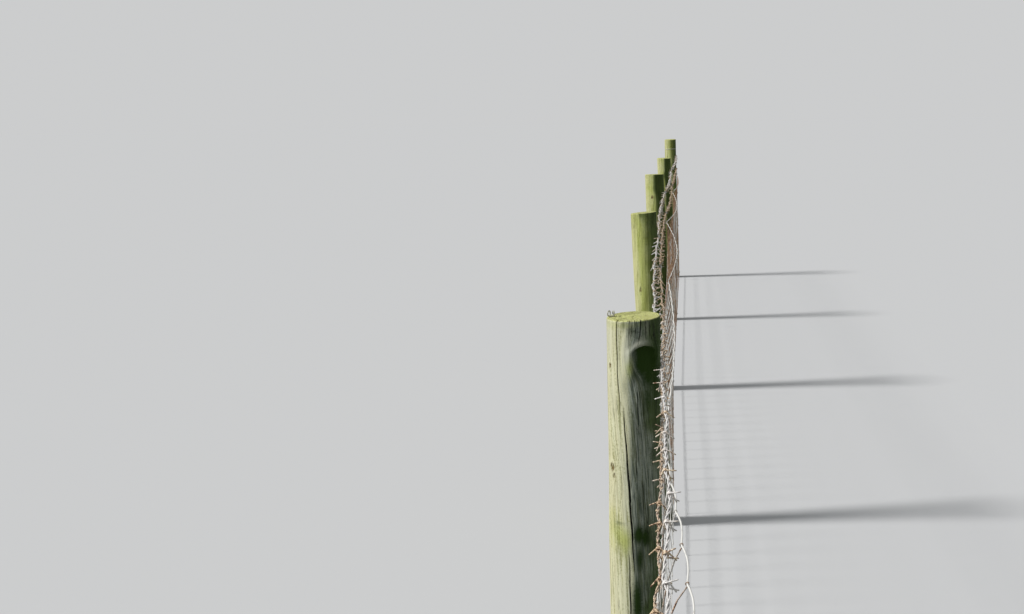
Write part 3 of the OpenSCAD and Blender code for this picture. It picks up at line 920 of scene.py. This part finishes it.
# line wires with a crimp in each cell, and stays from each line to the next whose ends wind round both
def makeNetting(i):
    rng = np.random.default_rng(70 + i)
    wire = netting["wire"]
    stays = round(fence["bayLength"] / netting["stay"])
    stayShares = (np.arange(stays) + netting["stayPhase"]) / stays
    near = -fence["tail"] if i == 0 else netting["endGap"]
    far = fence["tail"] if i == fence["bays"] - 1 else -netting["endGap"]
    edges = stayShares[[0, -1]]
    share = np.linspace(0, 1, stays * netting["cellStations"] + 1)
    cell = (share * stays - netting["stayPhase"] + 0.5) % 1     # 0.5 at a stay, 0 and 1 midway between two
    fromMiddle = np.minimum(cell, 1 - cell)
    crimp = np.sin(4 * math.pi * cell) * np.exp(-(fromMiddle / 0.2) ** 2)
    hold = np.clip(np.minimum(share, 1 - share) * 60, 0, 1)     # 0 at each end of the bay
    sets = []
    for j in range(netting["lines"]):
        line = netPoint(i, share, j)
        line[:, 2] += netting["crimp"] * crimp * hold
        if j == topLine:      # the slack top wire bows out between stays and has a kink at each
            line[:, 1] -= netting["pull"][i] * np.abs(np.cos(math.pi * cell)) * hold
            line[:, 2] -= netting["kink"][i] * np.exp(-((cell - 0.5) / 0.09) ** 2) * hold
            rust, dirt = netting["topWireRust"], 0
        else:
            rust = netting["rust"][i] + rng.uniform(-0.18, 0.18)
            dirt = rng.uniform(0, 0.5)
        first, last = netPoint(i, edges, j)     # each end runs straight on from its nearest stay
        line[0] += near * unit(first - line[0])
        line[-1] += far * unit(line[-1] - last)
        sets.append((tubes(line[None], (0, 0, 1), lineWire(j) / 2, netting["lineSides"]), rust, dirt))
    knots = np.stack([netPoint(i, stayShares, j) for j in range(netting["lines"])], 1)
    knots[:, topLine, 2] -= netting["kink"][i]
    t = np.linspace(0, 1, netting["wrapStations"])[:, None]

    # a stay's end: turns of wire round line wire j, moving along it, that start at the side of the
    # line that faces -Y
    def wrap(j, upward):
        radius = (lineWire(j) + netting["wrapWire"]) / 2 - netting["wrapBite"]
        wind = 2 * math.pi * netting["wraps"] * t
        along = upward * (netting["wrapStart"] + netting["wraps"] * netting["wrapPitch"] * t)
        shape = np.concatenate([along, -radius * np.cos(wind), upward * radius * np.sin(wind)], 1)
        return knots[:, j, None] + shape

    for j in range(topLine):
        low, high = wrap(j, -1)[:, ::-1], wrap(j + 1, 1)
        s = np.array([0.15, 0.38, 0.62, 0.85])[:, None]     # places along the stay's straight part
        stray = rng.normal(0, netting["sway"], (stays, 1, 3))
        sway = np.sin(math.pi * s) * stray * np.array([1, 0.6, 0])
        rust = netting["rust"][i] + rng.uniform(-0.12, 0.24, stays)
        dirt = rng.uniform(0, 0.45, stays)
        if j == topLine - 1:      # the top cells' stays bend in, most at two thirds of their height
            slack = np.sin(math.pi * stayShares) * netting["bulge"][i] / max(netting["bulge"])
            sway[..., 1] += netting["lean"] * slack[:, None] * 6.75 * s[:, 0] ** 2 * (1 - s[:, 0])
            rust = rust + netting["topRust"][i]
        straight = low[:, -1:] * (1 - s) + high[:, :1] * s + sway
        path = np.concatenate([low, straight, high], 1)
        wound = np.full(len(t), netting["wrapWire"])
        radius = np.concatenate([wound, np.full(len(s), wire), wound]) / 2
        each = path.shape[1] * netting["staySides"]
        sets.append((tubes(path, (1, 0, 0), radius, netting["staySides"]),
                     np.repeat(rust, each), np.repeat(dirt, each)))
    name = "netting_bay_%d" % (i + 1)
    tubePiece("hinge_joint_" + name, sets, [name], netWire)


for i in range(fence["bays"]):
    makeNetting(i)
print("netting made")

# staples and ties
staples = {"wire": 4, "drive": 12, "turn": 20, "stations": 12, "sides": 8, "rust": 0.3}
stapleTurn = math.radians(staples["turn"])
stapleRadius = ((strands["thickness"] + staples["wire"]) / 2 + fence["gap"]) / math.cos(stapleTurn)


# a staple's centre line: two legs joined by a half circle over the wire
def staplePath(i, z, wire):
    lean = math.radians(fence["lean"][i])
    a = np.linspace(-math.pi / 2, math.pi / 2, staples["stations"])
    leg = staples["drive"] + wire / 2
    y = np.concatenate([[leg, 0.5], -stapleRadius * np.cos(a), [0.5, leg]])
    h = np.concatenate([[-stapleRadius] * 2, stapleRadius * np.sin(a), [stapleRadius] * 2])
    x, rise = h * math.sin(stapleTurn), h * math.cos(stapleTurn)
    leanedY = y * math.cos(lean) + rise * math.sin(lean)
    leanedZ = rise * math.cos(lean) - y * math.sin(lean)
    return np.stack([x, leanedY, leanedZ], -1) + onPost(i, z, wire)


# one for each strand and each stapled line wire, apart from a top wire that hangs off the post
def makeStaples(i):
    spots = [(height, strands["thickness"]) for height in fence["strands"]]
    spots += [(lineZ(j), lineWire(j)) for j in netting["stapled"]
              if j != topLine or netting["hang"][i] == 0]
    paths = np.stack([staplePath(i, z, wire) for z, wire in spots])
    side = (math.cos(stapleTurn), 0, -math.sin(stapleTurn))
    bent = tubes(paths, side, staples["wire"] / 2, staples["sides"])
    name = "staples_post_%d" % (i + 1)
    tubePiece("fence_" + name, [(bent, staples["rust"], 0)], [name], silverWire)


for i in range(fence["bays"] + 1):
    makeStaples(i)
for name, finish in (("tie_wire_loops", tieWire), ("tie_wire_ring", silverWire)):
    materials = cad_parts[name].data.materials
    materials.clear()
    materials.append(finish)
print("staples made")

# floor and light
studio = {
    "floor": (0.68, 0.678, 0.676),
    "bounce": (0.2, 0.21, 0.18),        # the floor's colour as the object sees it
    "sun": 3.0,
    "sunAngle": 9,
    "sunFrom": (-0.2, 1.0, 0.84),       # from the left and a little behind the camera, as in the picture
    "sky": 0.3,
    "skyColour": (0.93, 0.97, 1.0),
    "behind": (0.603, 0.609, 0.613),    # what the camera sees past the floor
}

floorMesh = bpy.data.meshes.new("floor")
floorMesh.from_pydata([(-60, -60, 0), (90, -60, 0), (90, 60, 0), (-60, 60, 0)], [], [(0, 1, 2, 3)])
floor = bpy.data.objects.new("floor", floorMesh)
scene.collection.objects.link(floor)
ground = Shader("floor")
seen = ground.add("ShaderNodeLightPath", output="Is Camera Ray").math(
    "MAXIMUM", ground.add("ShaderNodeLightPath", output="Is Glossy Ray"))
floorMesh.materials.append(ground.finish(
    Base_Color=ground.mix(seen, studio["bounce"], studio["floor"]), Roughness=1.0, Specular_IOR_Level=0.0))

sun = bpy.data.objects.new("sun", bpy.data.lights.new("sun", "SUN"))
sun.data.energy = studio["sun"]
sun.data.angle = math.radians(studio["sunAngle"])
sun.rotation_euler = Vector(studio["sunFrom"]).to_track_quat("Z", "Y").to_euler()
scene.collection.objects.link(sun)

world = bpy.data.worlds.new("studio")
world.use_nodes = True
nodes, links = world.node_tree.nodes, world.node_tree.links
sky = nodes["Background"]
sky.inputs["Color"].default_value = studio["skyColour"] + (1,)
sky.inputs["Strength"].default_value = studio["sky"]
backdrop = nodes.new("ShaderNodeBackground")
backdrop.inputs["Color"].default_value = studio["behind"] + (1,)
rays = nodes.new("ShaderNodeLightPath")
either = nodes.new("ShaderNodeMath")
mix = nodes.new("ShaderNodeMixShader")
either.operation = "MAXIMUM"
links.new(rays.outputs["Is Camera Ray"], either.inputs[0])
links.new(rays.outputs["Is Glossy Ray"], either.inputs[1])
links.new(either.outputs[0], mix.inputs["Fac"])
links.new(sky.outputs[0], mix.inputs[1])
links.new(backdrop.outputs[0], mix.inputs[2])
links.new(mix.outputs[0], nodes["World Output"].inputs["Surface"])
scene.world = world
print("light set")
